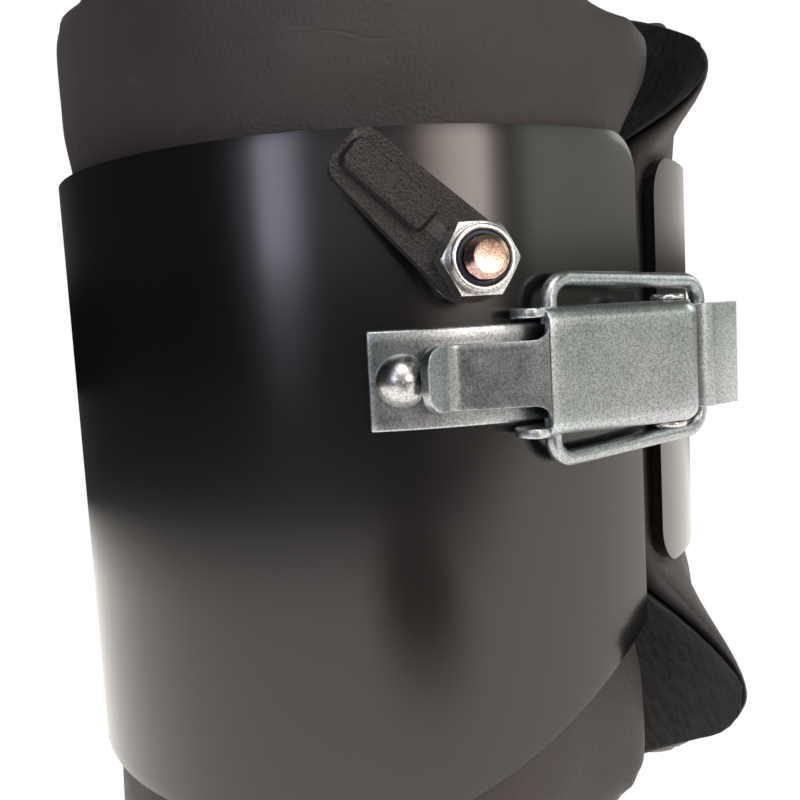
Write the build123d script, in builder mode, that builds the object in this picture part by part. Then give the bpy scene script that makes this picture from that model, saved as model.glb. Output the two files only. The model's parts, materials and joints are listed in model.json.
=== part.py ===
from build123d import *
from math import atan2, cos, degrees, hypot, radians, sin
import os

# Padded steel inversion boot (one ankle cuff), in millimetres.
# +Z runs up the leg, the origin is on the leg axis at the bottom of the pads.
# Two half shells meet in the XZ plane: the latch half is on -Y, the hook half on +Y.
# The hinge is at -X and the toggle latch closes the gap at +X.
# Angles are counted from +X towards +Y, so the latch gap is at 0 and the hinge at 180.

# ---------------------------------------------------------------- driving dimensions
SHELL_RADIUS = 64.5          # outside of the steel
SHELL_WALL = 2.0
SHELL_EDGE = 3.3             # distance of each shell edge from the split plane
LATCH_SHELL_BOTTOM = 32.0
LATCH_SHELL_TOP = 142.3
LATCH_SHELL_CORNERS = (6.0, 29.0)   # corner radii seen from the front: upper, lower
HOOK_SHELL_BOTTOM = 66.5
HOOK_SHELL_TOP = 139.5
HOOK_SHELL_CORNERS = (7.0, 7.0)

PAD_HEIGHT = 174.3
PAD_OUTER_RADIUS = 61.4
PAD_INNER_RADIUS = 49.0
PAD_EDGE = 0.6               # distance of each pad edge from the split plane
LATCH_PAD_CORNERS = (16.0, 30.0)    # corner radii seen from the front: upper, lower
HOOK_PAD_CORNERS = (20.0, 42.0)
LINING_THICKNESS = 1.4
LINING_GAP = 0.1             # glue line between foam and lining
POCKET = 1.0                 # room that the foam leaves around a bolt head

HINGE_RADIUS = 68.7          # distance of the hinge pin from the leg axis
HINGE_BOTTOM = 73.0
HINGE_TOP = 133.0
KNUCKLES = 5
KNUCKLE_RADIUS = 4.0
KNUCKLE_GAP = 0.3
HINGE_PIN_RADIUS = 2.0
HINGE_PIN_HEAD = 1.6
HINGE_PIN_RIM = 1.4          # the pin's head overhangs its shank by this much
HINGE_PIN_ROUNDING = 0.8
LEAF_THICKNESS = 1.5
LEAF_START = 2.5             # angles from the pin to the near and far end of a leaf
LEAF_END = 26.0
LEAF_RIVET_ANGLE = 19.0
LEAF_RIVET_MARGIN = 11.0     # from a leaf's end to its outermost rivet

LATCH_HEIGHT = 104.7         # centre line of the latch
SHEET = 1.5                  # latch sheet thickness
BASE_WIDTH = 15.2
BASE_START = -47.8
BASE_END = -4.5
BASE_RIVETS = (-43.4, -17.5)
LEVER_PIVOT = (71.4, -6.9)   # fixed pin, seen along the leg axis
BAIL_PIVOT = (62.3, -27.3)   # pivot that the lever carries
BAIL_BAR = (70.2, 6.5)       # cross bar of the wire, inside the catch
PIN_RADIUS = 1.6
PIN_HEAD = 0.9
PIN_RIM = 1.1                # the pin's head overhangs its shank by this much
PIN_ROUNDING = 0.6
EAR_RADIUS = 2.85
EAR_FEET = (-11.0, -21.0)    # angles where each ear grows out of the base plate
WEB_ANGLE = -26.2            # direction that the lever's broad web faces
WEB_FACE = 71.6              # web's outer face, from the leg axis
WEB_START = 1.0              # web's free edge, along the tangent
WEB_WIDTH = 19.5
WEB_CURL = 70.0              # turn of the web's rounded end about the pivot
FLANGE_TAB_RADIUS = 3.1
FLANGE_TAB_CENTRE = (-0.4, 68.5)
LEVER_END_RADIUS = 4.5
HANDLE_SLOPE = 18.8          # handle leans towards the shell from the web
HANDLE_BEND = 3.1
HANDLE_OVERLAP = 6.0         # the handle's sheet reaches this far under the web
HANDLE_LENGTH = 16.6
HANDLE_WIDTH = 9.9
LIP_RADIUS = 2.8
LIP_TURN = 46.0
WIRE_RADIUS = 1.3
WIRE_BEND = 3.5
BAIL_HALF_WIDTH = 14.05      # wire centre line at the pivots
BAIL_HALF_WIDTH_FAR = 12.7   # wire centre line at the cross bar
BAIL_END = 7.2               # inner end of each turned-in leg

CATCH_WIDTH = 17.7
CATCH_CLEARANCE = 0.15
CATCH_END = 24.0             # angle of the far end of the catch plate
CATCH_RIVET_ANGLE = 16.5
CATCH_RIVET_SPACING = 9.0
CATCH_CURL = 100.0           # turn of the hooked end around the wire
CATCH_LIP = (6.2, 1.9)       # run and rise of the lip beyond the curl
RIVET_SHANK = 2.2
RIVET_HEAD = 4.1
RIVET_DOME = 3.2
RIVET_TAIL_RADIUS = 3.1
RIVET_TAIL = 0.6
RIVET_TAIL_GAP = 0.15        # the flat tail stands this far off the curved steel

SAFETY_ANGLE = -35.25
SAFETY_HEIGHT = 121.6
SAFETY_REST = 136.5          # lever's parked direction on the shell, from the tangent
SAFETY_LENGTH = 24.0
SAFETY_ROOT = 6.0
SAFETY_TIP_CORNER = 2.6
SAFETY_TIP_HALF = 4.5
SAFETY_THICKNESS = 2.4
GRIP_START = 8.0             # raised finger grip along the lever
GRIP_END = 23.3
GRIP_HALF = 2.7
GRIP_HEIGHT = 1.9
GRIP_CORNER = 1.6
GRIP_TAPER = 14.0
GRIP_ROUNDING = 0.5
M6_RADIUS = 3.0
M6_FLATS = 10.0
UNDER_NUT = 5.2
SAFETY_WASHER = 1.0
SAFETY_WASHER_RADIUS = 6.0
LOCK_NUT_HEX = 4.7
LOCK_NUT_COLLAR = 1.3
LOCK_NUT_RIM = 4.6           # outside of the collar
LOCK_NUT_SEAT = 3.75         # inside of the collar, which grips the nylon ring
LOCK_NUT_ROUNDING = 0.3
INSERT_RECESS = 0.2          # the nylon ring ends this far below the collar's rim
BOLT_PROTRUSION = 2.6
BOLT_CHAMFER = 0.6
BOLT_HEAD_RADIUS = 6.5
BOLT_HEAD = 2.4
BOLT_HEAD_ROUNDING = 1.2
BOLT_HEAD_GAP = 0.4          # flat head against the curved inner wall

BAR_RADIUS = 16.0            # the exercise bar that the hook hangs on
LINER = 3.0
HOOK_THICKNESS = 5.0
HOOK_WIDTH = 30.0
HOOK_BACK = 67.0             # back leg's inner face, from the leg axis
HOOK_CENTRE_HEIGHT = 86.0
HOOK_TOP = 138.0
HOOK_TIP_RISE = 17.0
HOOK_CORNER = 8.0
LINER_MARGIN = 1.0           # the liner is this much narrower than the strip on each side
LINER_BACK_RISE = 12.0       # liner's ends above the hook's centre
LINER_TIP_RISE = 11.0
SADDLE_WIDTH = 28.0
SADDLE_BELOW = 10.0          # saddle block's lower end under the hook's centre
SADDLE_TOP = 136.0
HOOK_BOLT_HEIGHTS = (111.5, 128.0)
M8_RADIUS = 4.0
M8_FLATS = 13.0
M8_NUT = 4.0                 # thin nuts, sunk in the pad
M8_WASHER = 1.6
M8_HEAD_RADIUS = 7.0
M8_HEAD = 3.2
M8_HEAD_ROUNDING = 2.2
M8_KEY_RADIUS = 2.5          # hexagon socket for the key
M8_KEY_DEPTH = 1.9
M8_BOLT_PAST_NUT = 0.5
HOOK_NUT_SEAT = 0.6          # flat washer against the curved inner wall
HOOK_NUT_POCKET = 7.2

FIT = 0.05                   # running clearance of pins in their holes
TOUCH = 0.02                 # parting of faces that are fastened together
BOLT_CLEARANCE = 0.25

# ---------------------------------------------------------------- derived places
SHELL_INNER = SHELL_RADIUS - SHELL_WALL
SEAT = SHELL_RADIUS + TOUCH
LAYER_TOP = SEAT + SHEET
LEVER_LOWER_FACE = SHELL_RADIUS + UNDER_NUT + SAFETY_WASHER + 3 * TOUCH + FIT
HOOK_INNER_RADIUS = BAR_RADIUS + LINER
HOOK_CENTRE_Y = HOOK_BACK + HOOK_THICKNESS + HOOK_INNER_RADIUS
LATCH_SIDE = -1
HOOK_SIDE = 1


def radial_plane(angle, radius, height):
    """Plane that faces outward from the leg axis, with its x along the tangent and y up."""
    out = (cos(radians(angle)), sin(radians(angle)), 0)
    tangent = (-out[1], out[0], 0)
    return Plane(origin=(radius * out[0], radius * out[1], height), x_dir=tangent, z_dir=out)


def profile_plane(angle, height):
    """Plane across the leg axis, with x along the tangent at an angle and y outward."""
    tangent = (-sin(radians(angle)), cos(radians(angle)), 0)
    return Plane(origin=(0, 0, height), x_dir=tangent, z_dir=(0, 0, -1))


def in_profile(point, angle):
    """A point seen along the leg axis, in the coordinates of profile_plane."""
    along = -point[0] * sin(radians(angle)) + point[1] * cos(radians(angle))
    outward = point[0] * cos(radians(angle)) + point[1] * sin(radians(angle))
    return (along, outward)


def half_tube(outer, inner, bottom, top, edge, side, corners, half_width):
    """Half of a tube, cut to an upright rectangle with rounded corners as seen from the front."""
    with BuildPart() as half:
        with BuildSketch(Plane.XY.offset(bottom)):
            Circle(outer)
            Circle(inner, mode=Mode.SUBTRACT)
            with Locations((0, side * (edge + outer))):
                Rectangle(4 * outer, 2 * outer, mode=Mode.INTERSECT)
        extrude(amount=top - bottom)
        with BuildSketch(Plane.XZ) as outline:
            with Locations((0, (top + bottom) / 2)):
                Rectangle(2 * half_width, top - bottom)
            fillet(outline.vertices().group_by(Axis.Y)[-1], corners[0])
            fillet(outline.vertices().group_by(Axis.Y)[0], corners[1])
        extrude(amount=2 * outer, both=True, mode=Mode.INTERSECT)
    return half.part


def curved_strip(start, end, inner, outer, width):
    """Strip that hugs the shell between two angles, centred on the XY plane."""
    with BuildPart() as strip:
        with BuildSketch():
            with BuildLine():
                edge_out = CenterArc((0, 0), outer, start, end - start)
                edge_in = CenterArc((0, 0), inner, start, end - start)
                Line(edge_out @ 0, edge_in @ 0)
                Line(edge_out @ 1, edge_in @ 1)
            make_face()
        extrude(amount=width / 2, both=True)
    return strip.part


def rivet(grip_outside):
    """Dome-headed rivet along +Z; z = 0 is the shell's outer surface."""
    tail_top = -SHELL_WALL - RIVET_TAIL_GAP
    dome_radius = (RIVET_HEAD**2 + RIVET_DOME**2) / (2 * RIVET_DOME)
    rim = degrees(atan2(dome_radius - RIVET_DOME, RIVET_HEAD))
    with BuildPart() as piece:
        with BuildSketch(Plane.XZ):
            with BuildLine():
                Polyline(
                    (0, tail_top - RIVET_TAIL),
                    (RIVET_TAIL_RADIUS, tail_top - RIVET_TAIL),
                    (RIVET_TAIL_RADIUS, tail_top),
                    (RIVET_SHANK - TOUCH, tail_top),
                    (RIVET_SHANK - TOUCH, grip_outside),
                    (RIVET_HEAD, grip_outside),
                )
                CenterArc((0, grip_outside + RIVET_DOME - dome_radius), dome_radius, rim, 90 - rim)
                Line((0, grip_outside + RIVET_DOME), (0, tail_top - RIVET_TAIL))
            make_face()
        revolve(axis=Axis.Z)
    return piece.part


def hex_nut(flats, bore, thickness, base):
    """Hexagon nut along +Z that stands on z = base, with both faces chamfered."""
    corner = flats / 2 / cos(radians(30))
    bevel = corner - flats / 2
    with BuildPart() as nut:
        with BuildSketch(Plane.XY.offset(base)):
            RegularPolygon(flats / 2, 6, major_radius=False)
            Circle(bore, mode=Mode.SUBTRACT)
        extrude(amount=thickness)
        with BuildSketch(Plane.XZ):
            with BuildLine():
                Polyline(
                    (0, base),
                    (corner - bevel, base),
                    (corner, base + bevel * 0.6),
                    (corner, base + thickness - bevel * 0.6),
                    (corner - bevel, base + thickness),
                    (0, base + thickness),
                    close=True,
                )
            make_face()
        revolve(axis=Axis.Z, mode=Mode.INTERSECT)
    return nut.part


def place(pieces, planes):
    """One part made of the same piece repeated on each plane."""
    with BuildPart() as group:
        for plane in planes:
            add(plane * pieces)
    return group.part


def finish(part, name):
    """Label one piece and write it to its own STEP file."""
    part.label = name
    export_step(part, f"parts/{name}.step")


os.makedirs("parts", exist_ok=True)

# ---------------------------------------------------------------- places of the fasteners
safety_plane = radial_plane(SAFETY_ANGLE, SHELL_RADIUS, SAFETY_HEIGHT)
base_rivet_planes = [radial_plane(angle, SHELL_RADIUS, LATCH_HEIGHT) for angle in BASE_RIVETS]
catch_rivet_planes = [
    radial_plane(CATCH_RIVET_ANGLE, SHELL_RADIUS, LATCH_HEIGHT + offset)
    for offset in (-CATCH_RIVET_SPACING / 2, CATCH_RIVET_SPACING / 2)
]
hook_bolt_planes = [radial_plane(90, SHELL_RADIUS, height) for height in HOOK_BOLT_HEIGHTS]
hinge_middle = (HINGE_BOTTOM + HINGE_TOP) / 2
leaf_rivet_heights = [HINGE_BOTTOM + LEAF_RIVET_MARGIN, hinge_middle, HINGE_TOP - LEAF_RIVET_MARGIN]
latch_leaf_planes, hook_leaf_planes = (
    [radial_plane(180 - side * LEAF_RIVET_ANGLE, SHELL_RADIUS, height) for height in leaf_rivet_heights]
    for side in (LATCH_SIDE, HOOK_SIDE)
)

# ---------------------------------------------------------------- half shells
with BuildPart() as latch_shell:
    add(
        half_tube(
            SHELL_RADIUS, SHELL_INNER, LATCH_SHELL_BOTTOM, LATCH_SHELL_TOP, SHELL_EDGE,
            LATCH_SIDE, LATCH_SHELL_CORNERS, SHELL_RADIUS,
        )
    )
    with Locations(*base_rivet_planes, *latch_leaf_planes):
        Cylinder(RIVET_SHANK, 4 * SHELL_WALL, mode=Mode.SUBTRACT)
    with Locations(safety_plane):
        Cylinder(M6_RADIUS + BOLT_CLEARANCE, 4 * SHELL_WALL, mode=Mode.SUBTRACT)
finish(latch_shell.part, "latch_shell")

with BuildPart() as hook_shell:
    add(
        half_tube(
            SHELL_RADIUS, SHELL_INNER, HOOK_SHELL_BOTTOM, HOOK_SHELL_TOP, SHELL_EDGE,
            HOOK_SIDE, HOOK_SHELL_CORNERS, SHELL_RADIUS,
        )
    )
    with Locations(*catch_rivet_planes, *hook_leaf_planes):
        Cylinder(RIVET_SHANK, 4 * SHELL_WALL, mode=Mode.SUBTRACT)
    with Locations(*hook_bolt_planes):
        Cylinder(M8_RADIUS + BOLT_CLEARANCE, 4 * SHELL_WALL, mode=Mode.SUBTRACT)
finish(hook_shell.part, "hook_shell")

# ---------------------------------------------------------------- foam pads and their linings
with BuildPart() as latch_pad:
    add(
        half_tube(
            PAD_OUTER_RADIUS, PAD_INNER_RADIUS, 0, PAD_HEIGHT, PAD_EDGE,
            LATCH_SIDE, LATCH_PAD_CORNERS, PAD_OUTER_RADIUS,
        )
    )
    with Locations(safety_plane):
        Cylinder(
            BOLT_HEAD_RADIUS + POCKET, SHELL_WALL + BOLT_HEAD + POCKET,
            align=(Align.CENTER, Align.CENTER, Align.MAX), mode=Mode.SUBTRACT,
        )
finish(latch_pad.part, "latch_pad")

with BuildPart() as hook_pad:
    add(
        half_tube(
            PAD_OUTER_RADIUS, PAD_INNER_RADIUS, 0, PAD_HEIGHT, PAD_EDGE,
            HOOK_SIDE, HOOK_PAD_CORNERS, PAD_OUTER_RADIUS,
        )
    )
    with Locations(*hook_bolt_planes):
        Cylinder(
            M8_HEAD_RADIUS + POCKET, SHELL_WALL + HOOK_NUT_POCKET,
            align=(Align.CENTER, Align.CENTER, Align.MAX), mode=Mode.SUBTRACT,
        )
finish(hook_pad.part, "hook_pad")

lining_outer = PAD_INNER_RADIUS - LINING_GAP
for side, corners, name in (
    (LATCH_SIDE, LATCH_PAD_CORNERS, "latch_pad_lining"),
    (HOOK_SIDE, HOOK_PAD_CORNERS, "hook_pad_lining"),
):
    lining = half_tube(
        lining_outer, lining_outer - LINING_THICKNESS, 0, PAD_HEIGHT, PAD_EDGE,
        side, corners, PAD_OUTER_RADIUS,
    )
    finish(lining, name)

# ---------------------------------------------------------------- hinge
knuckle_pitch = (HINGE_TOP - HINGE_BOTTOM) / KNUCKLES
for side, name, first in (
    (LATCH_SIDE, "hinge_leaf_latch_side", 0),
    (HOOK_SIDE, "hinge_leaf_hook_side", 1),
):
    with BuildPart() as leaf:
        with Locations((0, 0, hinge_middle)):
            add(
                curved_strip(
                    180 - side * LEAF_END, 180 - side * LEAF_START, SEAT, SEAT + LEAF_THICKNESS,
                    HINGE_TOP - HINGE_BOTTOM,
                )
            )
        for index in range(KNUCKLES):
            middle = HINGE_BOTTOM + (index + 0.5) * knuckle_pitch
            with Locations((-HINGE_RADIUS, 0, middle)):
                if index % 2 == first:
                    Cylinder(KNUCKLE_RADIUS, knuckle_pitch - KNUCKLE_GAP)
                else:
                    Cylinder(
                        KNUCKLE_RADIUS + KNUCKLE_GAP, knuckle_pitch + KNUCKLE_GAP, mode=Mode.SUBTRACT
                    )
        with Locations((-HINGE_RADIUS, 0, hinge_middle)):
            Cylinder(HINGE_PIN_RADIUS + FIT, HINGE_TOP - HINGE_BOTTOM + 2, mode=Mode.SUBTRACT)
        with Locations(*(latch_leaf_planes if side == LATCH_SIDE else hook_leaf_planes)):
            Cylinder(RIVET_SHANK, 8 * LEAF_THICKNESS, mode=Mode.SUBTRACT)
    finish(leaf.part, name)

shank = HINGE_TOP - HINGE_BOTTOM + 2 * KNUCKLE_GAP
with BuildPart() as hinge_pin:
    with Locations((-HINGE_RADIUS, 0, hinge_middle)):
        Cylinder(HINGE_PIN_RADIUS, shank)
    for end in (-1, 1):
        with Locations((-HINGE_RADIUS, 0, hinge_middle + end * (shank + HINGE_PIN_HEAD) / 2)):
            Cylinder(HINGE_PIN_RADIUS + HINGE_PIN_RIM, HINGE_PIN_HEAD)
    rims = hinge_pin.edges().filter_by(GeomType.CIRCLE).group_by(Axis.Z)
    fillet(rims[0] + rims[-1], HINGE_PIN_ROUNDING)
finish(hinge_pin.part, "hinge_pin")

# ---------------------------------------------------------------- rivets
layer_rivet = rivet(SHEET + 2 * TOUCH)
finish(place(layer_rivet, latch_leaf_planes), "hinge_rivets_latch_side")
finish(place(layer_rivet, hook_leaf_planes), "hinge_rivets_hook_side")
finish(place(layer_rivet, base_rivet_planes), "latch_base_rivets")
finish(place(layer_rivet, catch_rivet_planes), "catch_rivets")

# ---------------------------------------------------------------- latch base on the latch shell
ear_outer = BASE_WIDTH / 2
with BuildPart() as latch_base:
    with Locations((0, 0, LATCH_HEIGHT)):
        add(curved_strip(BASE_START, BASE_END, SEAT, LAYER_TOP, BASE_WIDTH))
    for ear in (-1, 1):
        with BuildSketch(Plane.XY.offset(LATCH_HEIGHT + ear * (ear_outer - SHEET / 2))):
            with Locations(LEVER_PIVOT):
                Circle(EAR_RADIUS)
            for angle in EAR_FEET:
                foot = radial_plane(angle, SEAT + SHEET / 2, 0).origin
                with Locations((foot.X, foot.Y)):
                    Circle(SHEET / 2 - FIT)
            make_hull()
        extrude(amount=SHEET / 2, both=True)
    with Locations((0, 0, LATCH_HEIGHT)):
        Cylinder(SEAT, 2 * BASE_WIDTH, mode=Mode.SUBTRACT)
    with Locations((*LEVER_PIVOT, LATCH_HEIGHT)):
        Cylinder(PIN_RADIUS + TOUCH, 2 * BASE_WIDTH, mode=Mode.SUBTRACT)
    with Locations(*base_rivet_planes):
        Cylinder(RIVET_SHANK, 8 * SHEET, mode=Mode.SUBTRACT)
finish(latch_base.part, "latch_base")

head_middle = WEB_WIDTH / 2 + 2 * FIT + PIN_HEAD / 2
with BuildPart() as latch_pivot_pin:
    with Locations((*LEVER_PIVOT, LATCH_HEIGHT)):
        Cylinder(PIN_RADIUS, 2 * head_middle)
    for end in (-1, 1):
        with Locations((*LEVER_PIVOT, LATCH_HEIGHT + end * head_middle)):
            Cylinder(PIN_RADIUS + PIN_RIM, PIN_HEAD)
    rims = latch_pivot_pin.edges().filter_by(GeomType.CIRCLE).group_by(Axis.Z)
    fillet(rims[0] + rims[-1], PIN_ROUNDING)
finish(latch_pivot_pin.part, "latch_pivot_pin")

# ---------------------------------------------------------------- toggle lever
lever_plane = profile_plane(WEB_ANGLE, LATCH_HEIGHT)
pivot_in_lever = in_profile(LEVER_PIVOT, WEB_ANGLE)
bail_in_lever = in_profile(BAIL_PIVOT, WEB_ANGLE)
web_middle = WEB_FACE - SHEET / 2
slope = radians(HANDLE_SLOPE)
handle_tip = (HANDLE_BEND - HANDLE_LENGTH * cos(slope), web_middle - HANDLE_LENGTH * sin(slope))
with BuildPart() as toggle_lever:
    with BuildSketch(lever_plane):
        with BuildLine():
            Line((WEB_START, web_middle), (pivot_in_lever[0], web_middle))
            CenterArc(pivot_in_lever, web_middle - pivot_in_lever[1], 90, -WEB_CURL)
        trace(line_width=SHEET)
    extrude(amount=WEB_WIDTH / 2, both=True)
    with BuildSketch(lever_plane):
        with BuildLine():
            FilletPolyline(
                (HANDLE_BEND + HANDLE_OVERLAP, web_middle),
                (HANDLE_BEND, web_middle),
                handle_tip,
                (
                    handle_tip[0] - 2 * LIP_RADIUS * cos(slope - radians(LIP_TURN)),
                    handle_tip[1] - 2 * LIP_RADIUS * sin(slope - radians(LIP_TURN)),
                ),
                radius=LIP_RADIUS,
            )
        trace(line_width=SHEET)
    extrude(amount=HANDLE_WIDTH / 2, both=True)
    for flange in (-1, 1):
        middle = LATCH_HEIGHT + flange * (WEB_WIDTH - SHEET) / 2
        with BuildSketch(Plane(origin=(0, 0, middle), x_dir=lever_plane.x_dir, z_dir=(0, 0, -1))):
            with Locations(FLANGE_TAB_CENTRE):
                Circle(FLANGE_TAB_RADIUS)
            with Locations(pivot_in_lever):
                Circle(LEVER_END_RADIUS)
            make_hull()
        extrude(amount=SHEET / 2, both=True)
    with Locations((*LEVER_PIVOT, LATCH_HEIGHT)):
        Cylinder(PIN_RADIUS + FIT, 2 * WEB_WIDTH, mode=Mode.SUBTRACT)
    with Locations((*BAIL_PIVOT, LATCH_HEIGHT)):
        Cylinder(WIRE_RADIUS + FIT, 2 * WEB_WIDTH, mode=Mode.SUBTRACT)
finish(toggle_lever.part, "toggle_lever")

# ---------------------------------------------------------------- wire bail
reach = (BAIL_BAR[0] - BAIL_PIVOT[0], BAIL_BAR[1] - BAIL_PIVOT[1])
bail_length = hypot(*reach)
bail_plane = Plane(
    origin=(*BAIL_PIVOT, LATCH_HEIGHT), x_dir=(*reach, 0), z_dir=(reach[1], -reach[0], 0)
)
with BuildPart() as bail:
    with BuildLine(bail_plane) as wire_path:
        FilletPolyline(
            (0, BAIL_END),
            (0, BAIL_HALF_WIDTH),
            (bail_length, BAIL_HALF_WIDTH_FAR),
            (bail_length, -BAIL_HALF_WIDTH_FAR),
            (0, -BAIL_HALF_WIDTH),
            (0, -BAIL_END),
            radius=WIRE_BEND,
        )
    with BuildSketch(Plane(origin=wire_path.line @ 0, z_dir=wire_path.line % 0)):
        Circle(WIRE_RADIUS)
    sweep()
finish(bail.part, "bail")

# ---------------------------------------------------------------- catch on the hook shell
catch_angle = degrees(atan2(BAIL_BAR[1], BAIL_BAR[0]))
catch_plane = profile_plane(catch_angle, LATCH_HEIGHT)
bar_in_catch = in_profile(BAIL_BAR, catch_angle)
wrap_radius = WIRE_RADIUS + CATCH_CLEARANCE + SHEET / 2
base_middle = SEAT + SHEET / 2
wall_x = -wrap_radius
with BuildPart() as catch_plate:
    with BuildSketch(catch_plane):
        with BuildLine() as catch_path:
            base_arc = CenterArc(
                (0, 0), base_middle, 90 - (CATCH_END - catch_angle),
                CATCH_END - catch_angle + degrees(atan2(wrap_radius, base_middle)),
            )
            wall = Line(base_arc @ 1, (wall_x, bar_in_catch[1]))
            curl = CenterArc(bar_in_catch, wrap_radius, 180, -CATCH_CURL)
            Line(curl @ 1, curl @ 1 + Vector(*CATCH_LIP))
        trace(line_width=SHEET)
    extrude(amount=CATCH_WIDTH / 2, both=True)
    with Locations((0, 0, LATCH_HEIGHT)):
        Cylinder(SEAT, 2 * CATCH_WIDTH, mode=Mode.SUBTRACT)
    with Locations(*catch_rivet_planes):
        Cylinder(RIVET_SHANK, 8 * SHEET, mode=Mode.SUBTRACT)
finish(catch_plate.part, "catch_plate")

# ---------------------------------------------------------------- safety lever and its bolt stack
lever_base = LEVER_LOWER_FACE - SHELL_RADIUS
nut_base = lever_base + SAFETY_THICKNESS + FIT
bolt_end = nut_base + LOCK_NUT_HEX + LOCK_NUT_COLLAR + BOLT_PROTRUSION
head_seat = -SHELL_WALL - BOLT_HEAD_GAP
with BuildPart() as safety_bolt:
    with Locations(Plane.XY.offset(head_seat)):
        Cylinder(
            BOLT_HEAD_RADIUS, BOLT_HEAD, align=(Align.CENTER, Align.CENTER, Align.MAX)
        )
        Cylinder(
            M6_RADIUS - TOUCH, bolt_end - head_seat, align=(Align.CENTER, Align.CENTER, Align.MIN)
        )
    rims = safety_bolt.edges().filter_by(GeomType.CIRCLE).group_by(Axis.Z)
    chamfer(rims[-1], BOLT_CHAMFER)
    rims = safety_bolt.edges().filter_by(GeomType.CIRCLE).group_by(Axis.Z)
    fillet(rims[0], BOLT_HEAD_ROUNDING)
finish(safety_plane * safety_bolt.part, "safety_bolt")

finish(safety_plane * hex_nut(M6_FLATS, M6_RADIUS, UNDER_NUT, TOUCH), "safety_under_nut")

washer_base = UNDER_NUT + 2 * TOUCH
with BuildPart() as safety_washer:
    with BuildSketch(Plane.XY.offset(washer_base)):
        Circle(SAFETY_WASHER_RADIUS)
        Circle(M6_RADIUS + BOLT_CLEARANCE, mode=Mode.SUBTRACT)
    extrude(amount=SAFETY_WASHER)
finish(safety_plane * safety_washer.part, "safety_washer")

with BuildPart() as safety_lever:
    with BuildSketch(Plane.XY.offset(lever_base)):
        Circle(SAFETY_ROOT)
        for edge in (-1, 1):
            with Locations(
                (SAFETY_LENGTH - SAFETY_TIP_CORNER, edge * (SAFETY_TIP_HALF - SAFETY_TIP_CORNER))
            ):
                Circle(SAFETY_TIP_CORNER)
        make_hull()
        Circle(M6_RADIUS + FIT, mode=Mode.SUBTRACT)
    extrude(amount=SAFETY_THICKNESS)
    with BuildSketch(Plane.XY.offset(lever_base + SAFETY_THICKNESS)):
        with Locations(((GRIP_START + GRIP_END) / 2, 0)):
            RectangleRounded(GRIP_END - GRIP_START, 2 * GRIP_HALF, GRIP_CORNER)
    extrude(amount=GRIP_HEIGHT, taper=GRIP_TAPER)
    fillet(safety_lever.edges().group_by(Axis.Z)[-1], GRIP_ROUNDING)
parked = safety_plane * Rot(0, 0, SAFETY_REST)
finish(parked * safety_lever.part, "safety_lever")

with BuildPart() as safety_lock_nut:
    add(hex_nut(M6_FLATS, M6_RADIUS, LOCK_NUT_HEX, nut_base))
    with BuildSketch(Plane.XY.offset(nut_base + LOCK_NUT_HEX)):
        Circle(LOCK_NUT_RIM)
        Circle(LOCK_NUT_SEAT, mode=Mode.SUBTRACT)
    extrude(amount=LOCK_NUT_COLLAR)
    rims = safety_lock_nut.edges().filter_by(GeomType.CIRCLE).group_by(Axis.Z)
    fillet(rims[-1], LOCK_NUT_ROUNDING)
finish(safety_plane * safety_lock_nut.part, "safety_lock_nut")

with BuildPart() as lock_nut_insert:
    with BuildSketch(Plane.XY.offset(nut_base + LOCK_NUT_HEX + TOUCH)):
        Circle(LOCK_NUT_SEAT - TOUCH)
        Circle(M6_RADIUS, mode=Mode.SUBTRACT)
    extrude(amount=LOCK_NUT_COLLAR - INSERT_RECESS)
finish(safety_plane * lock_nut_insert.part, "lock_nut_insert")

# ---------------------------------------------------------------- bar hook on the hook shell
with BuildPart() as hook_saddle:
    with BuildSketch(Plane.XY.offset(HOOK_CENTRE_HEIGHT - SADDLE_BELOW)):
        with Locations((0, HOOK_BACK / 2)):
            Rectangle(SADDLE_WIDTH, HOOK_BACK - 2 * TOUCH)
        Circle(SEAT, mode=Mode.SUBTRACT)
    extrude(amount=SADDLE_TOP - HOOK_CENTRE_HEIGHT + SADDLE_BELOW)
    with Locations(*hook_bolt_planes):
        Cylinder(M8_RADIUS + BOLT_CLEARANCE, SHELL_RADIUS, mode=Mode.SUBTRACT)
finish(hook_saddle.part, "hook_saddle")

side_plane = Plane(origin=(0, 0, 0), x_dir=(0, 1, 0), z_dir=(1, 0, 0))
strip_radius = HOOK_INNER_RADIUS + HOOK_THICKNESS / 2
with BuildPart() as bar_hook:
    with BuildSketch(side_plane):
        with BuildLine():
            back_leg = Line(
                (HOOK_CENTRE_Y - strip_radius, HOOK_TOP),
                (HOOK_CENTRE_Y - strip_radius, HOOK_CENTRE_HEIGHT),
            )
            CenterArc((HOOK_CENTRE_Y, HOOK_CENTRE_HEIGHT), strip_radius, 180, 180)
            Line(
                (HOOK_CENTRE_Y + strip_radius, HOOK_CENTRE_HEIGHT),
                (HOOK_CENTRE_Y + strip_radius, HOOK_CENTRE_HEIGHT + HOOK_TIP_RISE),
            )
        trace(line_width=HOOK_THICKNESS)
    extrude(amount=HOOK_WIDTH / 2, both=True)
    with Locations(*hook_bolt_planes):
        Cylinder(M8_RADIUS + BOLT_CLEARANCE, HOOK_BACK / 2, mode=Mode.SUBTRACT)
    end_corners = bar_hook.edges().filter_by(Axis.Y).group_by(Axis.Z)
    fillet(end_corners[-1] + end_corners[0], HOOK_CORNER)
finish(bar_hook.part, "bar_hook")

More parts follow.
